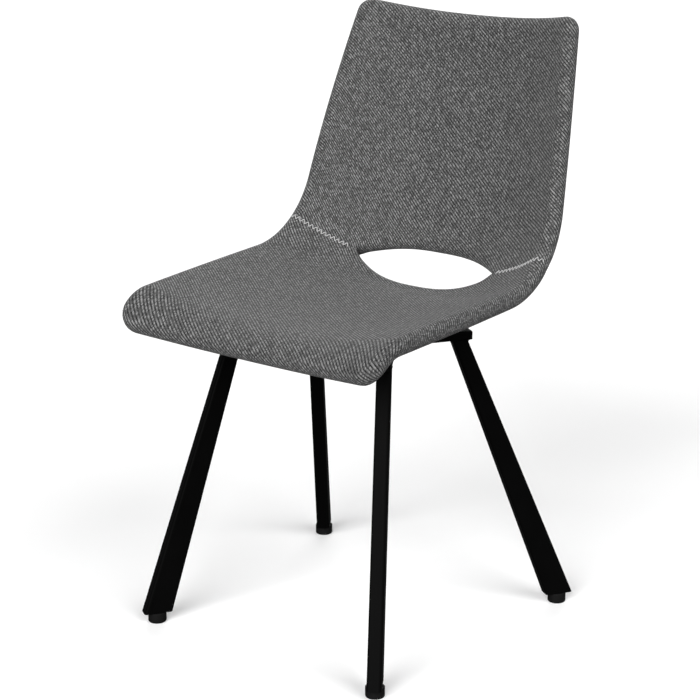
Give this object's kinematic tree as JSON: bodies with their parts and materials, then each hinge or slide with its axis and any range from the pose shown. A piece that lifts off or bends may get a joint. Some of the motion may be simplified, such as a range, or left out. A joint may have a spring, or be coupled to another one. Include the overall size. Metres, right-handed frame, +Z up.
{
  "type": "dining chair",
  "caption": "Dining chair: one-piece upholstered shell with an eye-shaped slot behind the seat, on a black steel base with splayed, downward-widening legs and levelling glides.",
  "frame": {"origin": "on the floor, under the middle of the chair's bounding box", "axes": "+Z up, the sitter faces -Y, +X to the viewer's right when seen from the front"},
  "size_m": [0.4856, 0.5638, 0.8654],
  "materials": {
    "fabric": "grey melange twill",
    "foam": "cut foam sheet",
    "plywood": "moulded plywood, raw",
    "frame_steel": "fine matt black powder coat",
    "black_plastic": "matt moulded",
    "glide_plastic": "satin moulded",
    "zinc_steel": "zinc plated",
    "black_screws": "black oxide"
  },
  "bodies": {
    "chair": {"shell_core": "plywood", "seat_foam": "foam", "back_foam": "foam", "under_foam": "foam", "rear_foam": "foam", "seat_cover": "fabric", "back_cover": "fabric", "under_cover": "fabric", "rear_cover": "fabric", "seat_plate": "frame_steel", "cross_tube": "frame_steel", "spacers": "black_plastic", "tee_nuts": "zinc_steel", "washers": "zinc_steel", "bolts": "black_screws", "arm_front_right": "frame_steel", "arm_front_left": "frame_steel", "arm_rear_right": "frame_steel", "arm_rear_left": "frame_steel", "arm_cap_front_right": "black_plastic", "arm_cap_front_left": "black_plastic", "arm_cap_rear_right": "black_plastic", "arm_cap_rear_left": "black_plastic", "leg_front_right": "frame_steel", "leg_front_left": "frame_steel", "leg_rear_right": "frame_steel", "leg_rear_left": "frame_steel", "leg_plug_front_right": "black_plastic", "leg_plug_front_left": "black_plastic", "leg_plug_rear_right": "black_plastic", "leg_plug_rear_left": "black_plastic"},
    "glide_front_right": {"glide_pad_front_right": "glide_plastic"},
    "screw_front_right": {"glide_stud_front_right": "zinc_steel"},
    "glide_front_left": {"glide_pad_front_left": "glide_plastic"},
    "screw_front_left": {"glide_stud_front_left": "zinc_steel"},
    "glide_rear_right": {"glide_pad_rear_right": "glide_plastic"},
    "screw_rear_right": {"glide_stud_rear_right": "zinc_steel"},
    "glide_rear_left": {"glide_pad_rear_left": "glide_plastic"},
    "screw_rear_left": {"glide_stud_rear_left": "zinc_steel"}
  },
  "joints": [
    {"name": "glide_lift_front_right", "type": "slide", "parent": "chair", "child": "glide_front_right", "axis": [0, 0, -1], "range_m": [0, 0.006]},
    {"name": "glide_turn_front_right", "type": "hinge", "parent": "glide_front_right", "child": "screw_front_right", "pos_m": [0.201, -0.24462, 0.02], "axis": [0, 0, -1], "range_deg": [0, 1725]},
    {"name": "glide_lift_front_left", "type": "slide", "parent": "chair", "child": "glide_front_left", "axis": [0, 0, -1], "range_m": [0, 0.006]},
    {"name": "glide_turn_front_left", "type": "hinge", "parent": "glide_front_left", "child": "screw_front_left", "pos_m": [-0.201, -0.24462, 0.02], "axis": [0, 0, -1], "range_deg": [0, 1725]},
    {"name": "glide_lift_rear_right", "type": "slide", "parent": "chair", "child": "glide_rear_right", "axis": [0, 0, -1], "range_m": [0, 0.006]},
    {"name": "glide_turn_rear_right", "type": "hinge", "parent": "glide_rear_right", "child": "screw_rear_right", "pos_m": [0.224, 0.17788, 0.02], "axis": [0, 0, -1], "range_deg": [0, 1725]},
    {"name": "glide_lift_rear_left", "type": "slide", "parent": "chair", "child": "glide_rear_left", "axis": [0, 0, -1], "range_m": [0, 0.006]},
    {"name": "glide_turn_rear_left", "type": "hinge", "parent": "glide_rear_left", "child": "screw_rear_left", "pos_m": [-0.224, 0.17788, 0.02], "axis": [0, 0, -1], "range_deg": [0, 1725]}
  ],
  "couplings": [
    {"joint": "glide_lift_front_right", "follows": "glide_turn_front_right", "m_per_rad": 0.00019894},
    {"joint": "glide_lift_front_left", "follows": "glide_turn_front_left", "m_per_rad": 0.00019894},
    {"joint": "glide_lift_rear_right", "follows": "glide_turn_rear_right", "m_per_rad": 0.00019894},
    {"joint": "glide_lift_rear_left", "follows": "glide_turn_rear_left", "m_per_rad": 0.00019894}
  ]
}
